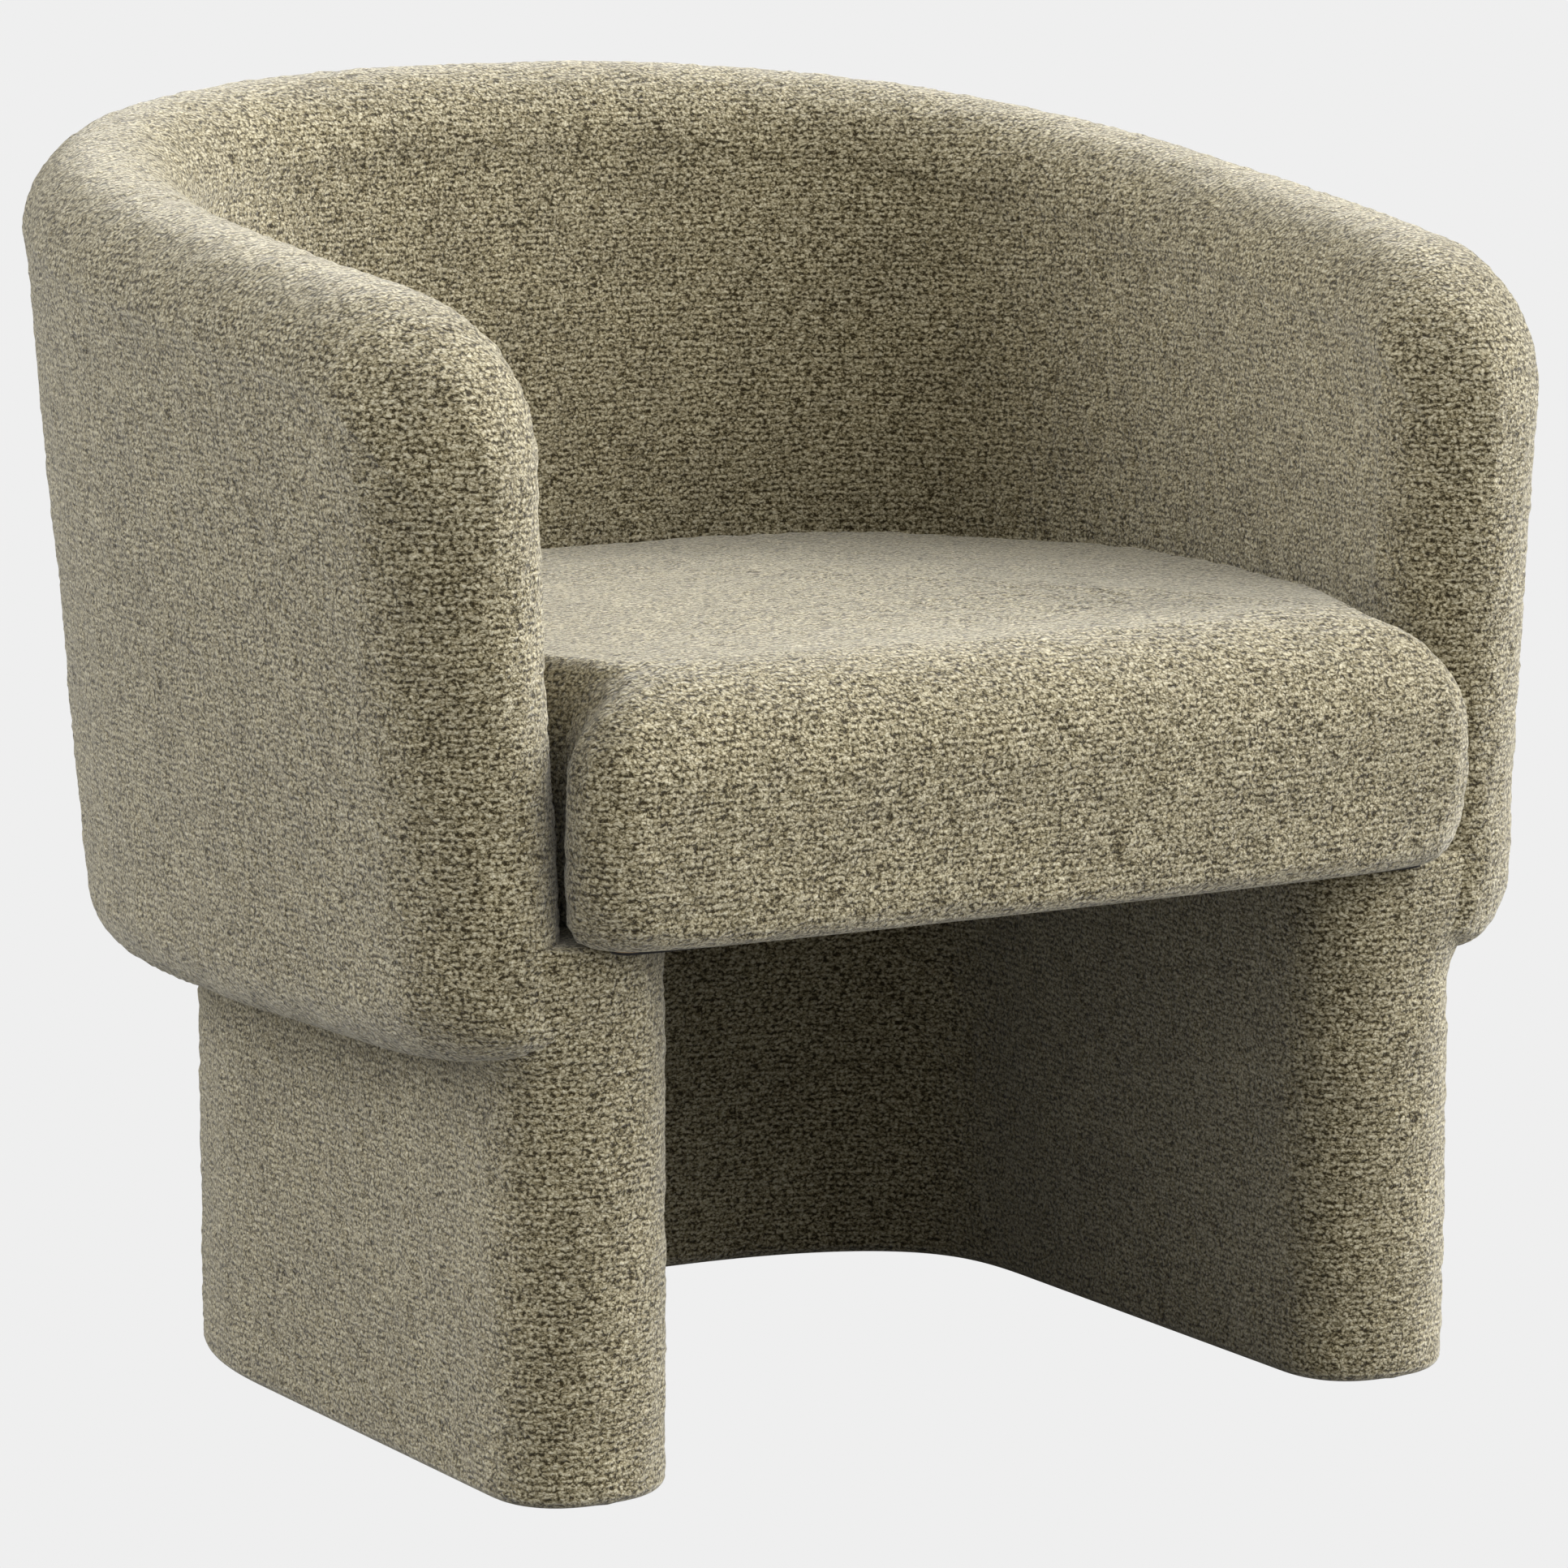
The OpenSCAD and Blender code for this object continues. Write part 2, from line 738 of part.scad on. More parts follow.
module seat_dowels() {
    color("burlywood")
        at_each(dowel_at, base_top - 38)
            cylinder(r = dowel_r, h = 60, $fn = 32);
}

module seat_brackets() {
    color("silver")
        difference() {
            for (x = [-bracket_x, bracket_x])
                translate([x - 20, bracket_y, bracket_z - 60]) {
                    cube([40, 2.4, 60]);
                    translate([0, -40, 57.6])
                        cube([40, 42.4, 2.4]);
                }
            bracket_bores(2.2, 10);
            for (x = [-bracket_x, bracket_x])
                translate([x, bracket_y - 22, 270])
                    cylinder(r = 2.2, h = 60, $fn = 24);
        }
}

module bracket_screws() {
    color("silver")
        for (x = [-bracket_x, bracket_x]) {
            translate([x, bracket_y - 2, 248])
                rotate([-90, 0, 0]) {
                    cylinder(r = 1.95, h = 38, $fn = 24);
                    cylinder(r = 4, h = 1.9, $fn = 24);
                }
            translate([x, bracket_y - 22, bracket_z - 4.4]) {
                cylinder(r = 1.95, h = 28, $fn = 24);
                cylinder(r = 4, h = 1.9, $fn = 24);
            }
        }
}

floor_glides();
glide_screws();
base_bottom_board();
base_studs();
left_base_post();
right_base_post();
base_rear_block();
base_outer_panel();
base_inner_panel();
base_padding();
base_bottom_cloth();
base_cover();
deck_board();
tub_lower_rail();
tub_sill();
tub_bolts();
tub_washers();
tub_barrel_nuts();
tub_ribs();
left_arm_post();
right_arm_post();
tub_top_rail();
tub_outer_panel();
tub_inner_panel();
outside_wadding();
inside_foam();
rim_foam();
left_arm_foam();
right_arm_foam();
skirt_foam();
tub_cover();
seat_frame();
spring_clips();
seat_springs();
spring_tie_rods();
spring_felt();
seat_foam();
seat_wadding();
seat_cover();
seat_bottom_cloth();
seat_dowels();
seat_brackets();
bracket_screws();
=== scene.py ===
"""An upholstered tub armchair in nubbly loop-yarn cloth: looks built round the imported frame.

Everything is in metres in the frame's own axes: the front faces -Y, up is +Z.
"""

import json
import logging
import math
from dataclasses import dataclass, field
from enum import Enum
from typing import Callable

import bpy
import numpy as np
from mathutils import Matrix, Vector

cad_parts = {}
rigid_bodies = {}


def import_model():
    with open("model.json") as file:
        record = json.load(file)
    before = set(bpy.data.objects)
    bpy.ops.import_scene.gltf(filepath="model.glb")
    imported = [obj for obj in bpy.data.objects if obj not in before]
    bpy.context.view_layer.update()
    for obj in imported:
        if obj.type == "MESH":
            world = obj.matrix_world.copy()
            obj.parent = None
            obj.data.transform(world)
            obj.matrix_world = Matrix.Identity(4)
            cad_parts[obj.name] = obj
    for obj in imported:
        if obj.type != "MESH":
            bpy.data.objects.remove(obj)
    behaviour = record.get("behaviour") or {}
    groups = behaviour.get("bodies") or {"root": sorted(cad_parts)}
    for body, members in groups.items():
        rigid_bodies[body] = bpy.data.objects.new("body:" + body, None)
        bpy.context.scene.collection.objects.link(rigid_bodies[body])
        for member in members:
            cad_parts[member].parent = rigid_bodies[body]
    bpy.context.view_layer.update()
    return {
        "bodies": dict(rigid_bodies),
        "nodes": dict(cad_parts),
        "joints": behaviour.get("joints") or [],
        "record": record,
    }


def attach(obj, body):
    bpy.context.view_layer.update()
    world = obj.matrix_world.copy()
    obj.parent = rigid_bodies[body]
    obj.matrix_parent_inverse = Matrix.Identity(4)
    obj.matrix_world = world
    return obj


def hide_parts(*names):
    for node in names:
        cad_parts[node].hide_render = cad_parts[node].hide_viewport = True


log = logging.getLogger("armchair")

Array = np.ndarray


# ---------------------------------------------------------------- shapes as arrays of points


def lattice_noise(points: Array, pitch: float, seed: int) -> Array:
    """Soft random bumps: random values on a cubic lattice, eased together between its points.

    Args:
        points: places, any shape ending in 3.
        pitch: size of one lattice cell.
        seed: which lattice.

    Returns:
        One value from -1 to 1 for each place.
    """
    side = 64
    values = np.random.default_rng(seed).uniform(-1, 1, (side, side, side))
    cell = points / pitch + 1000.0
    low = np.floor(cell).astype(int)
    share = cell - low
    share = share * share * (3 - 2 * share)
    low %= side
    high = (low + 1) % side
    total = np.zeros(points.shape[:-1])
    for corner in range(8):
        pick = [(corner >> axis) & 1 for axis in range(3)]
        index = [np.where(pick[a], high[..., a], low[..., a]) for a in range(3)]
        weight = np.prod([np.where(pick[a], share[..., a], 1 - share[..., a]) for a in range(3)], axis=0)
        total += weight * values[index[0], index[1], index[2]]
    return total


def grid_normals(points: Array, wrap_rows: bool, wrap_cols: bool) -> Array:
    """Unit normals of a grid surface: the cross product of its two differences.

    Args:
        points: grid of places, rows by columns by 3.
        wrap_rows: whether the last row meets the first.
        wrap_cols: whether the last column meets the first.

    Returns:
        A grid of unit vectors of the same shape.
    """

    def slope(axis: int, wrap: bool) -> Array:
        """Central difference along one axis, one-sided at open ends."""
        if wrap:
            return np.roll(points, -1, axis) - np.roll(points, 1, axis)
        return np.gradient(points, axis=axis)

    normal = np.cross(slope(0, wrap_rows), slope(1, wrap_cols))
    length = np.linalg.norm(normal, axis=-1, keepdims=True)
    return normal / np.maximum(length, 1e-12)


def grid_faces(rows: int, cols: int, wrap_rows: bool, wrap_cols: bool) -> Array:
    """Quads of a grid surface, one for each cell.

    Args:
        rows: number of rows of places.
        cols: number of columns of places.
        wrap_rows: whether the last row meets the first.
        wrap_cols: whether the last column meets the first.

    Returns:
        Vertex numbers, cells by 4.
    """
    i = np.arange(rows if wrap_rows else rows - 1)[:, None]
    j = np.arange(cols if wrap_cols else cols - 1)[None, :]
    i2 = (i + 1) % rows
    j2 = (j + 1) % cols
    quads = [i * cols + j, i2 * cols + j, i2 * cols + j2, i * cols + j2]
    return np.stack(np.broadcast_arrays(*quads), -1).reshape(-1, 4)


def mesh_piece(name: str, points: Array, faces: Array, merge: float = 1e-5) -> bpy.types.Object:
    """Puts an array of places and faces into a new smooth-shaded mesh object.

    Args:
        name: name of the piece.
        points: places, any shape ending in 3.
        faces: vertex numbers, faces by corners.
        merge: distance under which corners become one.

    Returns:
        The new object, at the origin.
    """
    mesh = bpy.data.meshes.new(name)
    mesh.from_pydata(points.reshape(-1, 3), [], faces)
    mesh.validate()
    piece = bpy.data.objects.new(name, mesh)
    bpy.context.scene.collection.objects.link(piece)
    if merge:
        weld = piece.modifiers.new("weld", "WELD")
        weld.merge_threshold = merge
        apply_modifiers(piece)
    piece.data.shade_smooth()
    return piece


def apply_modifiers(piece: bpy.types.Object) -> None:
    """Makes a piece's modified shape its own mesh and drops the modifiers."""
    graph = bpy.context.evaluated_depsgraph_get()
    shaped = bpy.data.meshes.new_from_object(piece.evaluated_get(graph))
    piece.modifiers.clear()
    old = piece.data
    piece.data = shaped
    bpy.data.meshes.remove(old)


def thicken(piece: bpy.types.Object, thickness: float) -> None:
    """Gives an open skin its cloth thickness, inwards, with closed edges."""
    solid = piece.modifiers.new("cloth thickness", "SOLIDIFY")
    solid.thickness = thickness
    solid.offset = -1
    apply_modifiers(piece)
    piece.data.shade_smooth()


@dataclass(frozen=True)
class WallCurve:
    """A U-shaped line seen from above: two arms and a squared-off round back.

    A station runs from -2 at the left arm's front, through -1 to 1 round the back, to 2.
    """

    half_width: float
    toe_in: float
    front: float
    back_start: float
    back_depth: float
    power: float

    def turn(self, s: Array) -> Array:
        """Angle round the back at each station, in radians."""
        return (1 - np.clip(s, -1, 1)) * math.pi / 2

    def arm_share(self, s: Array) -> Array:
        """How far along its arm each station is, 0 at the back and 1 at the front."""
        return np.maximum(np.abs(s) - 1, 0)

    def place(self, s: Array) -> Array:
        """Places on the line: a superellipse round the back, and a parabola toeing in on the arms."""
        t, u = self.turn(s), self.arm_share(s)
        x_back = self.half_width * np.abs(np.cos(t)) ** (2 / self.power)
        x = np.sign(s) * np.where(np.abs(s) > 1, self.half_width - self.toe_in * u**2, x_back)
        rise = self.back_depth * np.maximum(np.sin(t), 0) ** (2 / self.power)
        y = self.back_start + np.where(np.abs(s) > 1, -u * (self.back_start - self.front), rise)
        return np.stack([x, y], -1)

    def outward(self, s: Array) -> Array:
        """Unit vectors that point out of the wall: sideways on the arms, the curve's normal at the back."""
        t = self.turn(s)
        x = np.abs(np.cos(t)) ** (2 - 2 / self.power) / self.half_width
        y = np.maximum(np.sin(t), 0) ** (2 - 2 / self.power) / self.back_depth
        on_arm = np.abs(s) >= 1
        v = np.stack([np.sign(s) * np.where(on_arm, 1, x), np.where(on_arm, 0, y)], -1)
        return v / np.maximum(np.linalg.norm(v, axis=-1, keepdims=True), 1e-12)

    def even(self, low: float, high: float, count: int) -> Array:
        """Stations the same distance apart along the line, between two stations."""
        s = np.linspace(low, high, 4000)
        steps = np.linalg.norm(np.diff(self.place(s), axis=0), axis=-1)
        run = np.concatenate([[0], np.cumsum(steps)])
        return np.interp(np.linspace(0, run[-1], count), run, s)


@dataclass(frozen=True)
class ChairSizes:
    """The chair's driving sizes, the same as the frame's."""

    half_width: float = 0.390
    toe_in: float = 0.023
    front: float = -0.338
    arm_front: float = -0.284
    back_start: float = -0.036
    back: float = 0.34053
    back_power: float = 2.6
    height: float = 0.700
    arm_height: float = 0.610
    arm_corner: float = 0.088
    arm_wall: float = 0.102
    back_wall: float = 0.092
    outside_lean: float = 0.08
    inside_lean: float = 0.03
    nose_lean: float = 0.03
    underside: float = 0.227
    under_edge: float = 0.037
    base_half: float = 0.295
    base_wall: float = 0.094
    base_nose_y: float = -0.247
    base_start: float = 0.008
    base_back: float = 0.23053
    base_power: float = 2.5
    base_top: float = 0.284
    deck: float = 0.266
    seat_top: float = 0.430
    seat_roll: float = 0.060
    seat_bow: float = 0.005
    seat_level: float = 0.320

    @property
    def tub_curve(self) -> WallCurve:
        """The tub's outside line at rim level."""
        depth = self.back - self.back_start
        return WallCurve(self.half_width, self.toe_in, self.arm_front, self.back_start, depth, self.back_power)

    @property
    def base_curve(self) -> WallCurve:
        """The base's outside line."""
        depth = self.base_back - self.base_start
        return WallCurve(self.base_half, 0, self.base_nose_y, self.base_start, depth, self.base_power)


# ---------------------------------------------------------------- finishes


class Nodes:
    """Short ways to add and join shader nodes in one material."""

    def __init__(self, name: str) -> None:
        """Starts a material with its own Principled shader."""
        self.material = bpy.data.materials.new(name)
        self.material.use_nodes = True
        self.tree = self.material.node_tree
        self.shader = self.tree.nodes["Principled BSDF"]

    def add(self, kind: str, inputs: dict | None = None, **settings: object) -> bpy.types.Node:
        """Adds a node.

        Args:
            kind: the node's type, without its ShaderNode prefix.
            inputs: socket values, or output sockets to join to them.
            settings: the node's own properties.

        Returns:
            The new node.
        """
        node = self.tree.nodes.new("ShaderNode" + kind)
        for key, value in settings.items():
            setattr(node, key, value)
        for key, value in (inputs or {}).items():
            self.feed(node.inputs[key], value)
        return node

    def feed(self, socket: bpy.types.NodeSocket, value: object) -> None:
        """Sets a socket to a value, or joins an output to it."""
        if isinstance(value, bpy.types.NodeSocket):
            self.tree.links.new(value, socket)
        else:
            socket.default_value = value

    def maths(self, operation: str, *values: object) -> bpy.types.NodeSocket:
        """A Math node's result."""
        node = self.add("Math", operation=operation)
        for socket, value in zip(node.inputs, values):
            self.feed(socket, value)
        return node.outputs[0]

    def place(self, scale: tuple[float, float, float]) -> bpy.types.NodeSocket:
        """Object coordinates, scaled."""
        coords = self.add("TexCoord").outputs["Object"]
        return self.add("Mapping", {"Vector": coords, "Scale": scale}).outputs[0]

    def ramp(self, value: bpy.types.NodeSocket, stops: list[tuple[float, tuple]]) -> bpy.types.NodeSocket:
        """A colour ramp's colour.

        Args:
            value: what the ramp reads.
            stops: place and colour of each stop, in order.

        Returns:
            The colour output.
        """
        node = self.add("ValToRGB", {"Fac": value})
        elements = node.color_ramp.elements
        for number, (at, colour) in enumerate(stops):
            stop = elements[number] if number < 2 else elements.new(at)
            stop.position = at
            stop.color = (*colour, 1)
        return node.outputs[0]

    def mix(self, share: object, first: object, second: object, blend: str = "MIX") -> bpy.types.NodeSocket:
        """Two colours blended by a share."""
        node = self.add("Mix", data_type="RGBA", blend_type=blend)
        self.feed(node.inputs["Factor"], share)
        self.feed(node.inputs[6], first)
        self.feed(node.inputs[7], second)
        return node.outputs[2]

    def bump(self, height: bpy.types.NodeSocket, distance: float, strength: float = 1.0) -> None:
        """Raises the shading by a height in metres."""
        node = self.add("Bump", {"Height": height, "Distance": distance, "Strength": strength})
        self.feed(self.shader.inputs["Normal"], node.outputs[0])

    def set(self, **values: object) -> None:
        """Sets the shader's own sockets, named with underscores for spaces."""
        for key, value in values.items():
            self.feed(self.shader.inputs[key.replace("_", " ")], value)


@dataclass(frozen=True)
class LoopCloth:
    """Chunky loop-yarn upholstery cloth: nubs in loose rows, with painted shade in the gaps between them, and a
    pale bloom.
    """

    name: str = "loop_cloth"
    # painted shade: the colour of the gaps between nubs, where the nubs' own shadow falls
    gap_shade: tuple[float, float, float] = (0.030, 0.021, 0.006)
    low: tuple[float, float, float] = (0.205, 0.173, 0.096)
    high: tuple[float, float, float] = (0.460, 0.414, 0.286)
    tip: tuple[float, float, float] = (0.690, 0.645, 0.505)
    nub: float = 0.0021
    flatten: float = 1.35
    row: float = 0.0038
    bump_height: float = 0.0012

    def make(self) -> bpy.types.Material:
        """Builds the material: warped cells for nubs, finer cells for loops, noise for fibre and mottling, and
        painted shade in the gaps between nubs.

        Returns:
            The finished material.
        """
        n = Nodes(self.name)
        coords = n.place((1, 1, self.flatten))
        warp = n.add("TexNoise", {"Vector": coords, "Scale": 220.0, "Detail": 2.0}).outputs["Color"]
        shifted = n.add("VectorMath", {0: warp, 1: (0.5, 0.5, 0.5)}, operation="SUBTRACT").outputs[0]
        shifted = n.add("VectorMath", {0: shifted, "Scale": 0.0035}, operation="SCALE").outputs[0]
        bent = n.add("VectorMath", {0: coords, 1: shifted}, operation="ADD").outputs[0]
        nubs = n.add("TexVoronoi", {"Vector": bent, "Scale": 1 / self.nub}, feature="F1")
        loops = n.add("TexVoronoi", {"Vector": bent, "Scale": 2.3 / self.nub}, feature="F1")
        curls = n.add("TexNoise", {"Vector": bent, "Scale": 420.0, "Detail": 2.0, "Roughness": 0.6}).outputs[0]
        fibre = n.add("TexNoise", {"Vector": bent, "Scale": 1300.0, "Detail": 2.0, "Roughness": 0.7}).outputs[0]
        line = {"Vector": n.place((1, 1, 1)), "Scale": 0.314 / self.row, "Distortion": 5.0, "Detail": 2.0}
        up = n.add("SeparateXYZ", {"Vector": n.add("NewGeometry").outputs["Normal"]}).outputs[2]
        flatness = n.maths("ABSOLUTE", up)
        level = n.add("MapRange", {"Value": flatness, "From Min": 0.55, "From Max": 0.85}).outputs[0]
        across = n.add("TexWave", line, bands_direction="Z").outputs[0]
        along = n.add("TexWave", line, bands_direction="Y").outputs[0]
        upright_rows = n.maths("MULTIPLY", across, n.maths("SUBTRACT", 1.0, level))
        rows = n.maths("ADD", upright_rows, n.maths("MULTIPLY", along, level))
        mottle = n.add("TexNoise", {"Vector": n.place((1, 1, 1)), "Scale": 28.0, "Detail": 3.0}).outputs[0]
        round_nub = n.maths("SUBTRACT", 1.0, n.maths("MULTIPLY", nubs.outputs["Distance"], 1.15))
        round_loop = n.maths("SUBTRACT", 1.0, loops.outputs["Distance"])
        height = n.maths("ADD", n.maths("MULTIPLY", round_nub, 0.42), n.maths("MULTIPLY", round_loop, 0.22))
        height = n.maths("ADD", height, n.maths("MULTIPLY", n.maths("SUBTRACT", curls, 0.5), 0.85))
        height = n.maths("ADD", height, n.maths("MULTIPLY", n.maths("SUBTRACT", fibre, 0.5), 0.45))
        height = n.maths("ADD", height, n.maths("MULTIPLY", n.maths("SUBTRACT", rows, 0.5), 0.12))
        # painted shade: the ramp darkens the cloth by height, darkest in the gaps between nubs where their own
        # shadow falls, and lighter up to the tips
        colour = n.ramp(height, [(0.10, self.gap_shade), (0.25, self.low), (0.44, self.high), (0.72, self.tip)])
        yarn = n.add("SeparateColor", {"Color": nubs.outputs["Color"]}).outputs[0]
        slub = n.ramp(yarn, [(0.0, (0.72, 0.71, 0.68)), (0.35, (0.96, 0.96, 0.96)), (1.0, (1.08, 1.07, 1.05))])
        colour = n.mix(1.0, colour, slub, "MULTIPLY")
        shade = n.ramp(mottle, [(0.3, (0.90, 0.90, 0.90)), (0.7, (1.06, 1.06, 1.05))])
        colour = n.mix(1.0, colour, shade, "MULTIPLY")
        n.set(Base_Color=colour, Roughness=0.93, Specular_IOR_Level=0.18, Sheen_Weight=0.6, Sheen_Roughness=0.4)
        n.set(Sheen_Tint=(1.0, 0.975, 0.90, 1))
        n.bump(height, self.bump_height)
        return n.material


@dataclass(frozen=True)
class WovenLining:
    """Thin black lining cloth under the base and the seat."""

    name: str = "woven_lining"

    def make(self) -> bpy.types.Material:
        """Builds the material: two crossed sets of threads."""
        n = Nodes(self.name)
        coords = n.place((1, 1, 1))
        warp = n.add("TexWave", {"Vector": coords, "Scale": 420.0, "Distortion": 1.5, "Detail": 1.0}).outputs[0]
        weave = {"Vector": coords, "Scale": 420.0, "Distortion": 1.5}
        weft = n.add("TexWave", weave, bands_direction="Y").outputs[0]
        both = n.maths("MAXIMUM", warp, weft)
        fade = n.add("TexNoise", {"Vector": coords, "Scale": 35.0, "Detail": 4.0}).outputs[0]
        threads = n.ramp(both, [(0.2, (0.004, 0.004, 0.004)), (0.9, (0.022, 0.021, 0.020))])
        dust = n.ramp(fade, [(0.3, (0.8, 0.8, 0.8)), (0.75, (1.5, 1.45, 1.4))])
        n.set(Base_Color=n.mix(1.0, threads, dust, "MULTIPLY"), Roughness=0.85, Sheen_Weight=0.1)
        n.bump(both, 0.0003)
        return n.material


@dataclass(frozen=True)
class Grained:
    """A finish with one drawn-out pattern: timber, plywood, foam, wadding, felt, metal or plastic."""

    name: str
    dark: tuple[float, float, float]
    light: tuple[float, float, float]
    stretch: tuple[float, float, float]
    roughness: float
    metal: float = 0.0
    relief: float = 0.0003
    detail: float = 5.0
    layers: float = 0.0
    sheen: float = 0.0

    def make(self) -> bpy.types.Material:
        """Builds the material: stretched noise for grain, finer noise for pores, and stripes for layers.

        Returns:
            The finished material.
        """
        n = Nodes(self.name)
        coords = n.place(self.stretch)
        grain = n.add("TexNoise", {"Vector": coords, "Scale": 1.0, "Detail": self.detail}).outputs[0]
        pores = n.add("TexNoise", {"Vector": coords, "Scale": 6.0, "Detail": 3.0}).outputs[0]
        value = n.maths("ADD", n.maths("MULTIPLY", grain, 0.75), n.maths("MULTIPLY", pores, 0.25))
        if self.layers:
            plies = {"Vector": n.place((0.02, 0.02, self.layers)), "Scale": 1.0}
            wave = n.add("TexWave", plies, bands_direction="Z")
            value = n.maths("ADD", n.maths("MULTIPLY", value, 0.6), n.maths("MULTIPLY", wave.outputs[0], 0.4))
        colour = n.ramp(value, [(0.3, self.dark), (0.7, self.light)])
        rough = n.maths("ADD", self.roughness - 0.08, n.maths("MULTIPLY", pores, 0.16))
        n.set(Base_Color=colour, Roughness=rough, Metallic=self.metal, Sheen_Weight=self.sheen)
        n.bump(value, self.relief)
        return n.material


class Finish(Enum):
    """Every finish on the chair."""

    COVER = LoopCloth()
    LINING = WovenLining()
    PLYWOOD = Grained("birch_plywood", (0.33, 0.20, 0.10), (0.66, 0.50, 0.31), (9, 60, 120), 0.62, layers=120.0)
    TIMBER = Grained("pale_timber", (0.36, 0.22, 0.11), (0.62, 0.45, 0.27), (60, 60, 5), 0.6)
    FOAM = Grained("seat_foam", (0.62, 0.52, 0.26), (0.80, 0.72, 0.46), (500, 500, 500), 0.9, relief=0.0008)
    WADDING = Grained(
        "fibre_wadding", (0.66, 0.66, 0.64), (0.86, 0.86, 0.85), (160, 160, 420), 0.95, relief=0.001, sheen=0.3
    )
    FELT = Grained("grey_felt", (0.09, 0.09, 0.09), (0.27, 0.26, 0.25), (300, 300, 300), 0.95, sheen=0.3)
    SPRING = Grained("spring_steel", (0.10, 0.11, 0.12), (0.28, 0.29, 0.31), (120, 120, 120), 0.38, metal=1.0)
    ZINC = Grained("zinc_plate", (0.52, 0.53, 0.52), (0.74, 0.74, 0.72), (90, 90, 90), 0.34, metal=1.0)
    PLASTIC = Grained("black_plastic", (0.012, 0.012, 0.012), (0.03, 0.03, 0.03), (700, 700, 700), 0.5)


SLOT_FINISHES = {
    "cover_fabric": Finish.COVER,
    "lining_cloth": Finish.LINING,
    "wadding": Finish.WADDING,
    "foam": Finish.FOAM,
    "felt": Finish.FELT,
    "plywood": Finish.PLYWOOD,
    "timber": Finish.TIMBER,
    "spring_steel": Finish.SPRING,
    "zinc_steel": Finish.ZINC,
    "glide_plastic": Finish.PLASTIC,
}


class Wardrobe:
    """Makes each finish once and hands it out."""

    def __init__(self) -> None:
        """Starts with nothing made."""
        self.made: dict[Finish, bpy.types.Material] = {}

    def get(self, finish: Finish) -> bpy.types.Material:
        """The material of a finish, made the first time it is asked for."""
        if finish not in self.made:
            self.made[finish] = finish.value.make()
        return self.made[finish]

    def dress(self, piece: bpy.types.Object, finish: Finish) -> None:
        """Gives a whole piece one finish."""
        piece.data.materials.clear()
        piece.data.materials.append(self.get(finish))

    def dress_node(self, node: bpy.types.Object, finish: Finish) -> None:
        """Gives a frame node one finish through its own slots, with its mesh left alone."""
        if not node.material_slots:
            node.data.materials.append(self.get(finish))
        for holder in node.material_slots:
            holder.material = self.get(finish)


# ---------------------------------------------------------------- the padded pieces


# Height and pitch of the unevenness of hand upholstery, of the padding's lumps and of the yarn's nubs.
UNEVEN = ((0.0009, 0.085), (0.00035, 0.017), (0.0010, 0.0046))


def settle(points: Array, outward: Array, seed: int) -> Array:
    """Adds the small unevenness of hand upholstery and the lumps of the yarn along the normals."""
    broad, lumps, nubs = (
        rise * lattice_noise(points, pitch, seed + layer) for layer, (rise, pitch) in enumerate(UNEVEN)
    )
    return points + outward * (broad + lumps + nubs)[..., None]


def valley(distance: Array, width: float, depth: float) -> Array:
    """Depth of a sewn line: a bell-shaped dip with this width and depth."""
    return -depth * np.exp(-((distance / width) ** 2))


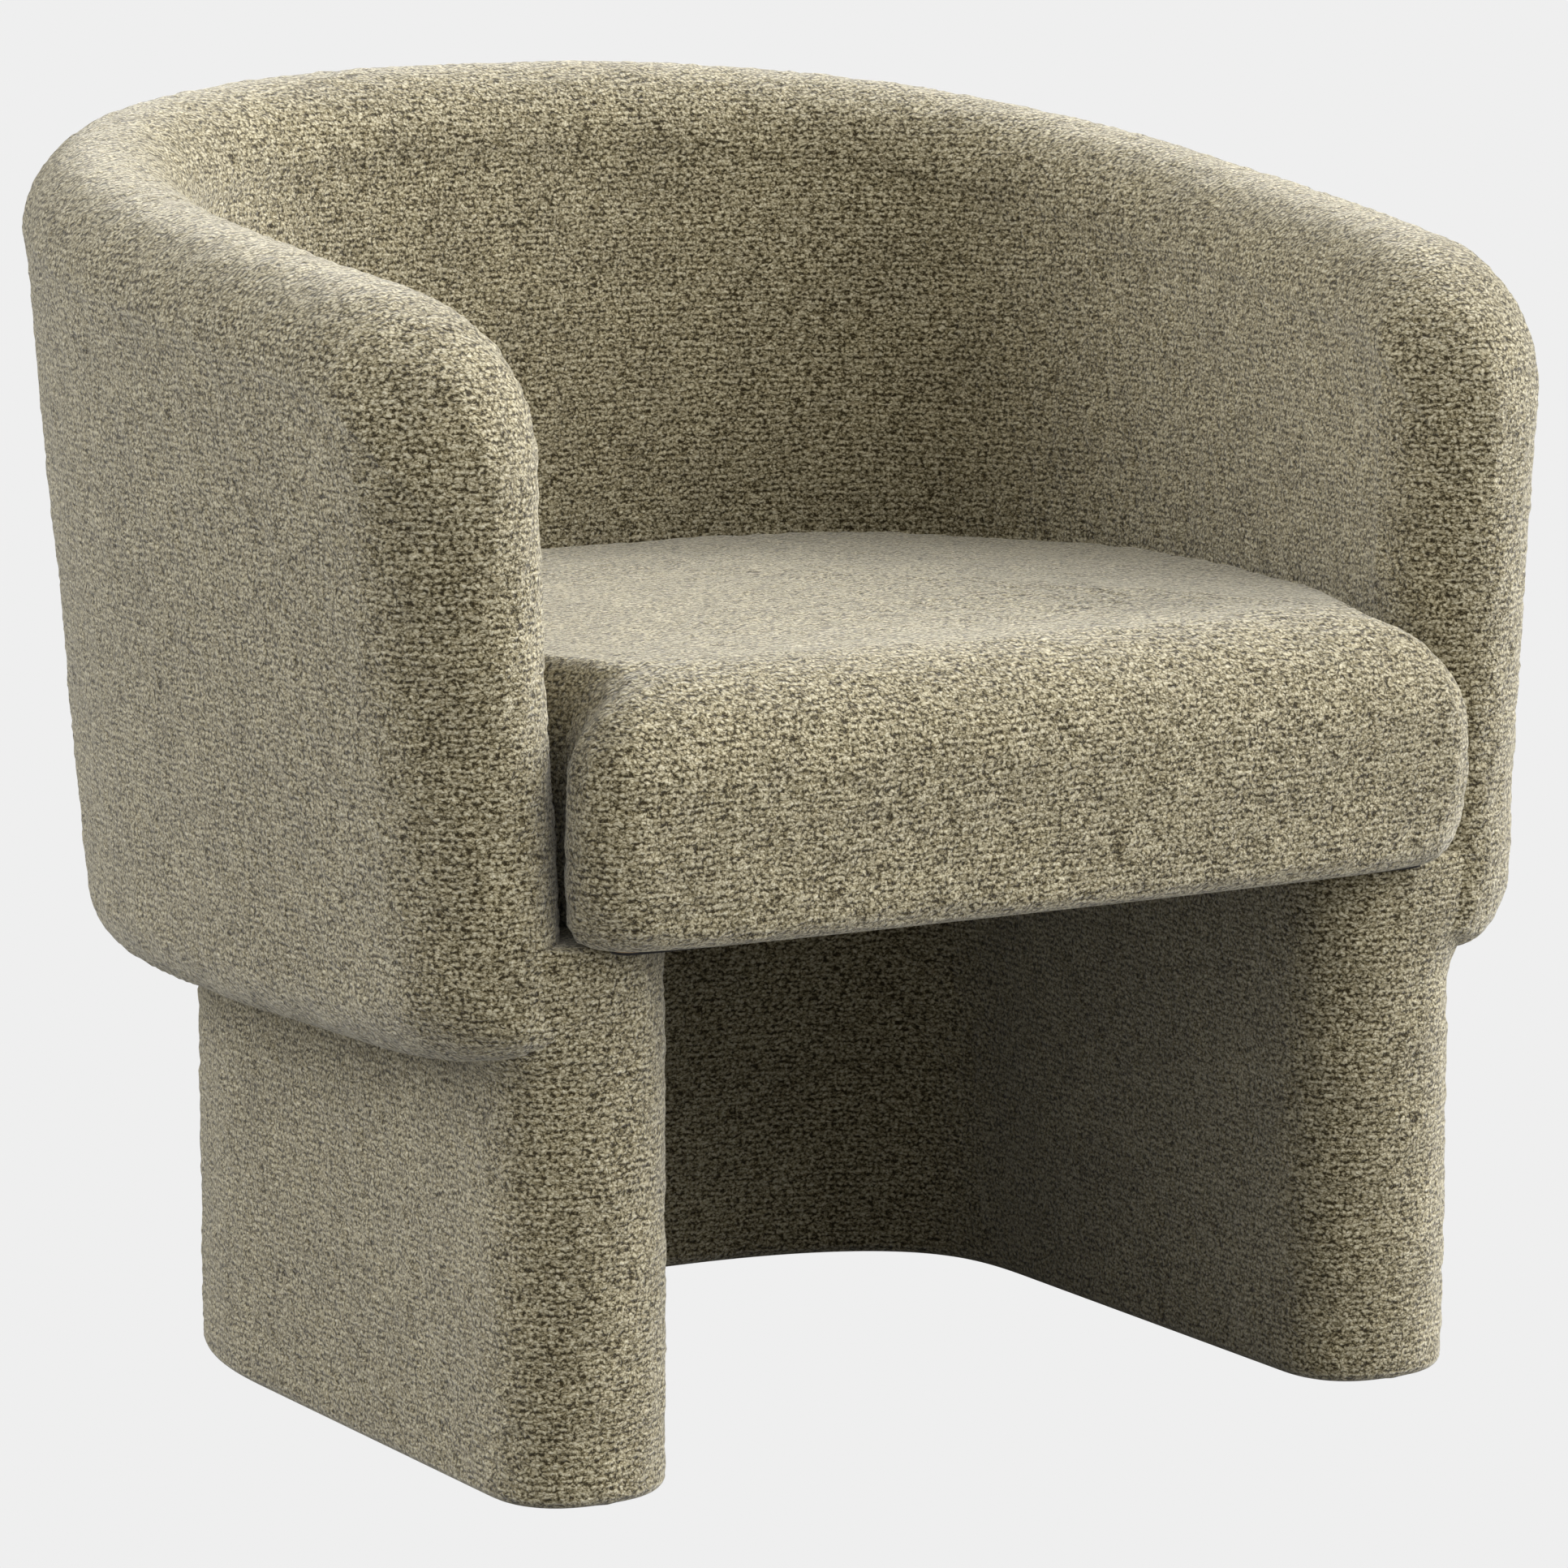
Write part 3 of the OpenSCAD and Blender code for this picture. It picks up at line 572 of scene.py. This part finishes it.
@dataclass
class TubCover:
    """The cover of the padded arms and back, one closed skin round the whole wall."""

    sizes: ChairSizes
    stations_back: int = 430
    stations_front: int = 40
    seam_station: float = 1.80
    back_seam: float = 0.55
    seam_depth: float = 0.0012
    seam_width: float = 0.0022
    back_seam_depth: float = 0.0009
    back_run: float = 0.40
    front_rise: float = 0.012
    tip_rise: float = 0.018
    front_swell: float = 0.006
    clear: float = 0.0006
    curve: WallCurve = field(init=False)

    def __post_init__(self) -> None:
        """Takes the tub's line from the sizes."""
        self.curve = self.sizes.tub_curve

    def stations(self) -> Array:
        """Stations from arm front to arm front: close together where the fronts turn, then even."""
        z = self.sizes
        angle = np.linspace(0, math.pi / 2, self.stations_front)
        y = z.arm_front + z.arm_corner * (1 - np.cos(angle))
        front = 1 + (z.back_start - y) / (z.back_start - z.arm_front)
        middle = self.curve.even(-front[-1], front[-1], self.stations_back)
        return np.concatenate([-front[:-1], middle, front[:-1][::-1]])

    def outside(self, z: Array) -> Array:
        """How far in the outside face is at a height."""
        return self.sizes.outside_lean * (self.sizes.height - z)

    def inside(self, s: Array, z: Array) -> Array:
        """How far in the inside face is at a station and height."""
        z0 = self.sizes
        share = np.cos(np.minimum(np.abs(s), 2) * math.pi / 4) ** 2
        return z0.arm_wall + (z0.back_wall - z0.arm_wall) * share + z0.inside_lean * (z0.height - z)

    def rim(self, y: Array) -> Array:
        """Height of the rim: a power curve down to the arm fronts, less a quarter circle at each front."""
        z = self.sizes
        fall = np.clip((z.back - y) / (z.back - z.arm_front), 0, 1) ** 0.82
        reach = np.clip(y - z.arm_front, 0, z.arm_corner)
        corner = z.arm_corner - np.sqrt(np.maximum(z.arm_corner**2 - (z.arm_corner - reach) ** 2, 0))
        return z.height - (z.height - z.arm_height) * fall - corner

    def nose_share(self, y: Array) -> Array:
        """Share of the wall's thickness left where an arm front turns: a half circle in plan."""
        radius = self.sizes.arm_wall / 2
        reach = np.clip((y - self.sizes.arm_front) / radius, 0, 1)
        return np.sqrt(1 - (1 - reach) ** 2)

    def to_base(self, s: Array) -> Array:
        """How far in the base's outside face is at each station, found by halving."""
        z = self.sizes
        start, way = self.curve.place(s), self.curve.outward(s)
        start[..., 1] -= z.nose_lean * (z.height - 0.25) * self.curve.arm_share(s)
        low, high = np.zeros(s.shape), np.full(s.shape, 0.16)
        radius = z.base_wall / 2
        for _ in range(30):
            middle = (low + high) / 2
            p = start - middle[..., None] * way
            x, y = np.abs(p[..., 0]), p[..., 1]
            rise = np.maximum(y - z.base_start, 0) / (z.base_back - z.base_start)
            in_back = (x / z.base_half) ** z.base_power + rise**z.base_power < 1
            in_nose = np.hypot(x - (z.base_half - radius), y - z.base_nose_y) < radius
            inside = np.where(y > z.base_nose_y, in_back, in_nose)
            low, high = np.where(inside, low, middle), np.where(inside, middle, high)
        return low - self.clear

    def section(self, s: Array) -> tuple[Array, Array]:
        """Depth in from the outside line and height of every place on the wall's closed section.

        It runs under the outside face, up it, over the half-round rim and down the inside face, then
        steps over the base's top edge and down its outside.

        Args:
            s: stations.

        Returns:
            Depths and heights, stations by places.
        """
        z = self.sizes
        s = s[:, None]
        y = self.curve.place(s)[..., 1]
        share = self.nose_share(y)
        near_front = np.clip(1 - (y - z.arm_front) / 0.10, 0, 1) ** 2
        swell = self.front_swell * np.clip((np.abs(s) - 1.35) / 0.65, 0, 1) ** 1.5
        out = lambda h: self.outside(h) - swell
        bottom = z.underside + self.front_rise * near_front + self.tip_rise * (1 - share) ** 2
        under_edge = z.under_edge + self.front_rise * near_front
        base = self.to_base(s)
        centre = bottom + under_edge
        middle = lambda h: (out(h) + self.inside(s, h)) / 2
        squeeze = lambda d, h: middle(h) + (d - middle(h)) * share
        inner_low = z.base_top + 0.0045
        step = np.clip(base, squeeze(out(bottom), bottom), squeeze(self.inside(s, bottom), bottom))
        step_high = np.clip(step, None, squeeze(self.inside(s, inner_low), inner_low) - 0.0003)
        top = self.rim(y)
        half = (self.inside(s, top) - out(top)) / 2
        round_z = top - half
        spread_to = lambda a, b, count: a + (b - a) * np.linspace(0, 1, count, endpoint=False)
        edge = out(centre) + under_edge
        turn = np.linspace(-math.pi / 2, -math.pi, 18, endpoint=False)
        arc = np.linspace(math.pi, 0, 46)
        flat_d = spread_to(step, squeeze(edge, bottom), 8)
        turn_z = centre + under_edge * np.sin(turn)
        turn_d = squeeze(edge + under_edge * np.cos(turn), turn_z)
        face_z = spread_to(centre + 0 * s, round_z, 96)
        face_d = squeeze(out(face_z), face_z)
        arc_z = round_z + half * np.sin(arc)
        arc_d = middle(round_z) + half * np.cos(arc)
        arc_d = middle(arc_z) + (arc_d - middle(arc_z)) * share
        back_z = round_z + (inner_low - round_z) * np.linspace(0, 1, 86)[1:]
        back_d = squeeze(self.inside(s, back_z), back_z)
        ledge_d = spread_to(back_d[:, -1:], step_high, 5)[:, 1:]
        riser_z = spread_to(inner_low + 0 * s, bottom + 0 * s, 8)
        riser_d = spread_to(step_high, step, 8)
        depth = np.concatenate([flat_d, turn_d, face_d, arc_d, back_d, ledge_d, riser_d], 1)
        height = np.concatenate(
            [0 * flat_d + bottom, turn_z, face_z, arc_z, back_z, 0 * ledge_d + inner_low, riser_z], 1
        )
        return depth, height

    def surface(self) -> Array:
        """Every place on the cover: the section carried round the wall, its arm fronts leaning forward."""
        s = self.stations()
        depth, height = self.section(s)
        start, way = self.curve.place(s)[:, None], self.curve.outward(s)[:, None]
        plan = start - depth[..., None] * way
        lean = self.sizes.nose_lean * (self.sizes.height - height) * self.curve.arm_share(s)[:, None]
        return np.dstack([plan[..., 0], plan[..., 1] - lean, height])

    def build(self) -> bpy.types.Object:
        """Builds the cover as one closed mesh.

        Returns:
            The piece.
        """
        points = self.surface()
        normals = grid_normals(points, False, True)
        s = np.abs(self.stations())[:, None]
        along = (s - self.seam_station) * (self.sizes.back_start - self.sizes.arm_front)
        faces_out = np.clip(np.sign(self.stations())[:, None] * normals[..., 0], 0, 1)
        dip = valley(along, self.seam_width, self.seam_depth) * faces_out
        outward = self.curve.outward(self.stations())[:, None]
        faces_in = np.clip(-1.4 * (normals[..., :2] * outward).sum(-1), 0, 1)
        from_seam = (s - self.back_seam) * self.back_run
        dip += valley(from_seam, self.seam_width, self.back_seam_depth) * faces_in
        points = points + normals * dip[..., None]
        loose = (points[..., 2] > self.sizes.underside + 0.004)[..., None]
        points = np.where(loose, settle(points, normals, 11), points)
        rows, cols = points.shape[:2]
        return mesh_piece("tub_cover_cloth", points, grid_faces(rows, cols, False, True))


@dataclass
class BaseCover:
    """The cover of the base wall: an upright skin, turned under at the floor and in at the top.

    At the arm fronts it flares out into the arms, so that arm and leg read as one surface.
    """

    sizes: ChairSizes
    bottom: float = 0.0028
    edge: float = 0.006
    under: float = 0.016
    thickness: float = 0.0024
    lift: float = 0.0066
    turned_in: float = 0.045
    flare: float = 0.026
    flare_low: float = 0.212
    flare_rise: float = 0.045
    front_power: float = 2.45
    seam_angle: float = -88.0
    seam_width: float = 0.002
    seam_depth: float = 0.0009

    def leg_front(self, side: int) -> tuple[Array, Array, Array]:
        """Half a superellipse round one leg front, from its outside to its inside on the right.

        Args:
            side: 1 for the right leg, -1 for the left.

        Returns:
            Places, outward directions, and how far the skin flares there to stand flush with the arm.
        """
        z = self.sizes
        radius = z.base_wall / 2
        angle = np.linspace(0, -math.pi, 48, endpoint=False)
        c, s = np.cos(angle), np.sin(angle)
        bent = lambda v, power: np.sign(v) * np.abs(v) ** power
        unit = np.stack([bent(c, 2 / self.front_power), bent(s, 2 / self.front_power)], -1)
        way = np.stack([bent(c, 2 - 2 / self.front_power), bent(s, 2 - 2 / self.front_power)], -1)
        way /= np.linalg.norm(way, axis=-1, keepdims=True)
        place = np.array([side * (z.base_half - radius), z.base_nose_y]) + radius * unit
        push = np.stack([side * self.flare / 2 * (1 + side * unit[:, 0]), -0.0012 * np.abs(unit[:, 1])], -1)
        return place, way, push

    def outline(self) -> tuple[Array, Array, Array, Array, Array]:
        """The wall's closed outline: outside, right front, inside, left front.

        Returns:
            Places, outward directions, and there the skin's top, its flare and its turned-in width.
        """
        z = self.sizes
        curve = z.base_curve
        s_out = curve.even(-2, 2, 340)[:-1]
        s_in = curve.even(2, -2, 250)[:-1]
        place_r, way_r, push_r = self.leg_front(1)
        place_l, way_l, push_l = self.leg_front(-1)
        out_n, in_n = curve.outward(s_out), -curve.outward(s_in)
        places = [curve.place(s_out), place_r, curve.place(s_in) + z.base_wall * in_n, place_l]
        covered = np.clip((1.95 - np.abs(s_out)) / 0.04, 0, 1)
        full = z.base_top - 0.0006
        front = np.ones(len(place_r))
        near_in = np.clip((np.abs(s_in) - 1.85) / 0.15, 0, 1)
        tops = [full - (full - z.deck + 0.0008) * covered, full + self.lift * front]
        tops += [full + self.lift * near_in, full + self.lift * front]
        fade = np.clip((np.abs(s_out) - 1.80) / 0.20, 0, 1)[:, None] ** 2
        pushes = [self.flare * fade * out_n, push_r, 0 * in_n, push_l]
        turned = [0.0015 + 0 * s_out, self.turned_in * front, 0.011 + (self.turned_in - 0.011) * near_in]
        turned += [self.turned_in * front]
        ways = [out_n, way_r, in_n, way_l]
        return tuple(np.concatenate(lists) for lists in (places, ways, tops, pushes, turned))

    def surface(self) -> Array:
        """Every place on the skin: a quarter round at the floor, straight up with the flare, and in."""
        place, way, top, push, turned = self.outline()
        turn = np.linspace(-math.pi / 2, 0, 9)
        lead = np.linspace(self.under, self.edge, 4)[:-1]
        inset = np.concatenate([lead, self.edge * (1 - np.cos(turn)), np.zeros(78)])
        rise = np.linspace(0, 1, 79)[1:]
        low = np.concatenate([np.zeros(len(lead)), self.edge * (1 + np.sin(turn))]) + self.bottom
        height = np.concatenate(
            [np.broadcast_to(low, (len(top), len(low))), low[-1] + (top[:, None] - low[-1]) * rise], 1
        )
        share = np.clip((height - self.flare_low) / self.flare_rise, 0, 1) ** 2.2
        inwards = np.linspace(0, 1, 8)[1:]
        depth = np.concatenate([np.broadcast_to(inset, share.shape), turned[:, None] * inwards], 1)
        share = np.concatenate([share, np.broadcast_to(share[:, -1:], (len(top), len(inwards)))], 1)
        crown = 0.001 * np.sin(inwards * math.pi / 2)
        height = np.concatenate([height, height[:, -1:] + crown], 1)
        plan = place[:, None] - depth[..., None] * way[:, None] + share[..., None] * push[:, None]
        return np.dstack([plan, height])

    def build(self) -> bpy.types.Object:
        """Builds the skin as a closed shell of cloth thickness.

        Returns:
            The piece.
        """
        points = self.surface()
        normals = grid_normals(points, True, False)
        nose_x = self.sizes.base_half - self.sizes.base_wall / 2
        seam_x = nose_x + self.sizes.base_wall / 2 * math.cos(math.radians(self.seam_angle))
        across = np.abs(points[..., 0]) - seam_x
        seam = valley(across, self.seam_width, self.seam_depth) * (points[..., 1] < self.sizes.base_nose_y)
        points = points + normals * seam[..., None]
        loose = (points[..., 2:] > 0.007) & (points[..., 2:] < self.sizes.base_top + 0.006)
        points = np.where(loose, settle(points, normals, 23), points)
        rows, cols = points.shape[:2]
        piece = mesh_piece("base_cover_cloth", points, grid_faces(rows, cols, True, False))
        thicken(piece, self.thickness)
        return piece


@dataclass
class SeatCushion:
    """The seat: a thick crowned cushion that fills the tub, its fullness set by its outline and profile."""

    sizes: ChairSizes
    under: float = 0.2905
    tuck: float = 0.013
    corner: float = 0.026
    crown: float = 0.007
    clear: float = 0.0012
    shrink: float = 0.0008
    pillow: float = 0.015
    side_roll: float = 0.35
    fall: float = 0.006
    thickness: float = 0.0022
    corner_least: float = 0.0085
    corner_reach: float = 0.05
    side_end: float = 1.72
    middle_y: float = -0.045

    def outline(self, inset: Array) -> Array:
        """The seat's closed outline at each inset, clockwise from the middle of the back.

        It follows the tub's inside, turns round the arm front and then its own corner, and crosses
        the bowed front; the left half mirrors the right.

        Args:
            inset: distances in from the edge, one for each row.

        Returns:
            Places, rows by places by 2.
        """
        z = self.sizes
        tub = TubCover(z)
        d = inset[:, None]
        level = z.seat_level
        thick = float(tub.inside(np.array(2.0), np.array(level)))
        lean_in = float(tub.outside(np.array(level)))
        nose_r = (thick - lean_in) / 2
        nose_x = z.half_width - z.toe_in - lean_in - nose_r
        nose = np.array([nose_x, z.arm_front - z.nose_lean * (z.height - level) + nose_r])
        s = tub.curve.even(0, self.side_end, 96)
        depth = tub.inside(s, np.full(s.shape, level)) + self.clear + d
        side = tub.curve.place(s) - depth[..., None] * tub.curve.outward(s)
        round_nose = nose_r + self.clear + d
        corner_r = np.sqrt((self.corner - d) ** 2 * (d < self.corner) + self.corner_least**2)
        corner_y = z.front + z.seat_bow + d + corner_r
        rise = nose[1] - corner_y
        corner_x = nose[0] - np.sqrt(np.maximum((round_nose + corner_r) ** 2 - rise**2, 0))
        bend = np.arcsin(np.clip(rise / (round_nose + corner_r), -1, 1))
        a = bend * np.linspace(0, 1, 16)[:-1]
        hollow = np.stack([nose[0] - round_nose * np.cos(a), nose[1] - round_nose * np.sin(a)], -1)
        b = bend - (bend + math.pi / 2) * np.linspace(0, 1, 26)[:-1]
        corner = np.stack([corner_x + corner_r * np.cos(b), corner_y + corner_r * np.sin(b)], -1)
        x = corner_x * np.linspace(1, 0, 62)
        front = np.stack([x, z.front + d + z.seat_bow * (x / corner_x) ** 2], -1)
        right = np.concatenate([side, hollow, corner, front], 1)
        left = right[:, -2:0:-1] * np.array([-1, 1])
        return np.concatenate([right, left], 1)

    def profile(self) -> tuple[Array, Array]:
        """Inset and height from the hem below, round the bottom edge, up the side and over the top roll."""
        z = self.sizes
        low = np.linspace(math.pi / 2, 0, 14)
        high = np.linspace(0, math.pi / 2, 34)
        straight = np.linspace(self.under + self.tuck, z.seat_top - z.seat_roll, 22)[1:-1]
        inset = np.concatenate([self.tuck * (1 - np.cos(low)), 0 * straight, z.seat_roll * (1 - np.cos(high))])
        height = np.concatenate(
            [
                self.under + self.tuck * (1 - np.sin(low)),
                straight,
                z.seat_top - z.seat_roll * (1 - np.sin(high)),
            ]
        )
        return inset + self.shrink, height

    def surface(self) -> Array:
        """Every place on the cushion: the profile round the outline, then the crowned top to its middle.

        The top roll is wide at the front and narrow where the cushion presses on the arms and back.
        """
        z = self.sizes
        inset, height = self.profile()
        rings = self.outline(inset)
        rolled = self.shrink + (inset - self.shrink) * self.side_roll
        narrow = np.where(height > z.seat_top - z.seat_roll, rolled, inset)
        pressed = np.clip((rings[0, :, 1] - z.front - 0.022) / 0.075, 0, 1)[None, :, None]
        pressed = pressed * pressed * (3 - 2 * pressed)
        pressed = pressed * (1 - 0.6 * np.clip((rings[0, :, 1] / 0.12), 0, 1)[None, :, None])
        rings = rings * (1 - pressed) + self.outline(narrow) * pressed
        middle_z = (self.under + z.seat_top) / 2 - 0.008
        far = np.clip(np.abs(height - middle_z) / (middle_z - self.under), 0, 1.2)[:, None] ** 2.4
        edge_x = np.abs(rings[..., 0]).max()
        from_side = (edge_x - np.abs(rings[..., 0])) / self.corner_reach
        from_front = (rings[..., 1] - z.front) / self.corner_reach
        near = np.exp(-(from_side**2 + from_front**2))
        pull = self.pillow * far * near
        rings = rings + np.stack([-np.sign(rings[..., 0]) * pull * 0.75, pull * 0.65], -1)
        side = np.dstack([rings, np.broadcast_to(height[:, None], rings.shape[:2])])
        share = np.linspace(0, 1, 56)[1:, None, None]
        middle = np.array([0.0, self.middle_y, z.seat_top])
        top = side[-1][None] * (1 - share) + middle * share
        top[..., 2] += self.crown * np.sin(share[..., 0] * math.pi / 2) ** 1.5
        for part in (side, top):
            rise = np.clip((part[..., 2] - self.under) / (z.seat_top - self.under), 0, 1)
            part[..., 2] -= self.fall * rise * np.clip((part[..., 1] + 0.10) / 0.30, 0, 1)
        hem = side[0].copy()
        hem[:, 2] += 0.004
        return np.concatenate([hem[None], side, top])

    def build(self) -> bpy.types.Object:
        """Builds the cushion, with the lumps of its yarn, as a closed shell.

        Returns:
            The piece.
        """
        points = self.surface()
        rows, cols = points.shape[:2]
        normals = grid_normals(points, False, True)
        loose = points[..., 2:] > self.under + 0.004
        points = np.where(loose, settle(points, normals, 37), points)
        piece = mesh_piece("seat_cushion", points, grid_faces(rows, cols, False, True))
        thicken(piece, self.thickness)
        return piece


# ---------------------------------------------------------------- stage


@dataclass(frozen=True)
class DistantLight:
    """One broad studio light, far enough away to fall evenly on the floor."""

    name: str
    azimuth: float
    elevation: float
    strength: float
    softness: float
    colour: tuple[float, float, float] = (1, 1, 1)

    def make(self) -> None:
        """Hangs the light: azimuth 0 is in front, 90 on +X; softness is its width in degrees."""
        a, e = math.radians(self.azimuth), math.radians(self.elevation)
        back = Vector((math.sin(a) * math.cos(e), -math.cos(a) * math.cos(e), math.sin(e)))
        data = bpy.data.lights.new(self.name, "SUN")
        data.energy = self.strength * math.pi
        data.angle = math.radians(self.softness)
        data.color = self.colour
        lamp = bpy.data.objects.new(self.name, data)
        lamp.rotation_euler = back.to_track_quat("Z", "Y").to_euler()
        bpy.context.scene.collection.objects.link(lamp)


@dataclass
class Studio:
    """Floor, lights, sky and camera."""

    target: tuple[float, float, float] = (0.0094, -0.0392, 0.3161)
    azimuth: float = -31.145
    elevation: float = 9.284
    distance: float = 3.5886
    lens: float = 148.3
    sky: float = 0.73
    floor_glow: float = 0.863
    card_tone: float = 0.27
    lights: tuple[DistantLight, ...] = (
        DistantLight("right_light", 85, 30, 1.58, 30),
        DistantLight("front_light", 30, 30, 0.58, 40),
        DistantLight("left_light", -130, 30, 0.64, 40),
    )

    def make(self) -> None:
        """Makes all of it."""
        self.floor()
        for light in self.lights:
            light.make()
        world = bpy.data.worlds.new("soft_sky")
        world.use_nodes = True
        world.node_tree.nodes["Background"].inputs["Color"].default_value = (1, 1, 1, 1)
        world.node_tree.nodes["Background"].inputs["Strength"].default_value = self.sky
        bpy.context.scene.world = world
        bpy.context.scene.view_settings.view_transform = "Standard"
        self.camera()

    def floor(self) -> None:
        """A wide pale floor, lit from within so that it stays even, over a card that bounces light back up.

        The card is out of the camera's sight, and the floor out of the bounced light's.
        """
        corners = np.array([[-40, -40, 0], [40, -40, 0], [40, 40, 0], [-40, 40, 0]], float)
        pale = Nodes("studio_floor")
        pale.set(Base_Color=(0.0, 0.0, 0.0, 1), Roughness=1.0, Specular_IOR_Level=0.0)
        pale.set(Emission_Color=(1, 1, 1, 1), Emission_Strength=self.floor_glow)
        card = Nodes("bounce_card")
        card.set(Base_Color=(*[self.card_tone] * 3, 1), Roughness=1.0, Specular_IOR_Level=0.0)
        for name, drop, finish in (("studio_floor", 0.0, pale), ("bounce_card", 0.001, card)):
            sheet = mesh_piece(name, corners - [0, 0, drop], np.array([[0, 1, 2, 3]]), merge=0)
            sheet.data.materials.append(finish.material)
            shown = name == "studio_floor"
            sheet.visible_camera = shown
            sheet.visible_diffuse = sheet.visible_glossy = sheet.visible_shadow = not shown

    def camera(self) -> None:
        """The camera: a long lens from the left front, a little above."""
        a, e = math.radians(self.azimuth), math.radians(self.elevation)
        back = Vector((math.sin(a) * math.cos(e), -math.cos(a) * math.cos(e), math.sin(e)))
        data = bpy.data.cameras.new("camera")
        data.lens = self.lens
        data.sensor_width = 36
        camera = bpy.data.objects.new("camera", data)
        camera.location = Vector(self.target) + back * self.distance
        camera.rotation_mode = "QUATERNION"
        camera.rotation_quaternion = back.to_track_quat("Z", "Y")
        bpy.context.scene.collection.objects.link(camera)
        bpy.context.scene.camera = camera


@dataclass
class Armchair:
    """The whole chair: its padded pieces and its dressed frame."""

    frame: dict
    sizes: ChairSizes = field(default_factory=ChairSizes)
    wardrobe: Wardrobe = field(default_factory=Wardrobe)

    def add(self, build: Callable[[], bpy.types.Object], node: str, slot: str, fill: float) -> bpy.types.Object:
        """Builds one padded piece, dresses it and puts it in its node's place.

        Args:
            build: makes the piece.
            node: the frame node that the piece stands for.
            slot: the record's slot for its finish.
            fill: how tightly it is stuffed; not used.

        Returns:
            The piece.
        """
        piece = build()
        self.wardrobe.dress(piece, SLOT_FINISHES[slot])
        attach(piece, "root")
        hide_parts(node)
        log.info("%s: %d faces, in place of %s", piece.name, len(piece.data.polygons), node)
        return piece

    def dress_frame(self) -> None:
        """Gives every shown frame node the finish of its slot."""
        slots = {part["node"]: part["material_slot"] for part in self.frame["record"]["subparts"]}
        for name, node in self.frame["nodes"].items():
            if node.hide_render:
                continue
            finish = SLOT_FINISHES[slots[name]]
            self.wardrobe.dress_node(node, finish)
            log.info("%s: %s", name, finish.name.lower())

    def build(self) -> None:
        """Builds every piece and dresses the frame."""
        tub = self.add(TubCover(self.sizes).build, "tub_cover", "cover_fabric", 0.95)
        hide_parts("skirt_foam", "rim_foam")
        self.add(BaseCover(self.sizes).build, "base_cover", "cover_fabric", 0.98)
        cushion = self.add(SeatCushion(self.sizes).build, "seat_cover", "cover_fabric", 0.9)
        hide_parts("seat_wadding")
        self.dress_frame()


def main() -> None:
    """Builds the chair and its studio."""
    logging.basicConfig(level=logging.INFO, format="%(name)s: %(message)s")
    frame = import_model()
    Armchair(frame).build()
    Studio().make()


if __name__ == "__main__":
    main()
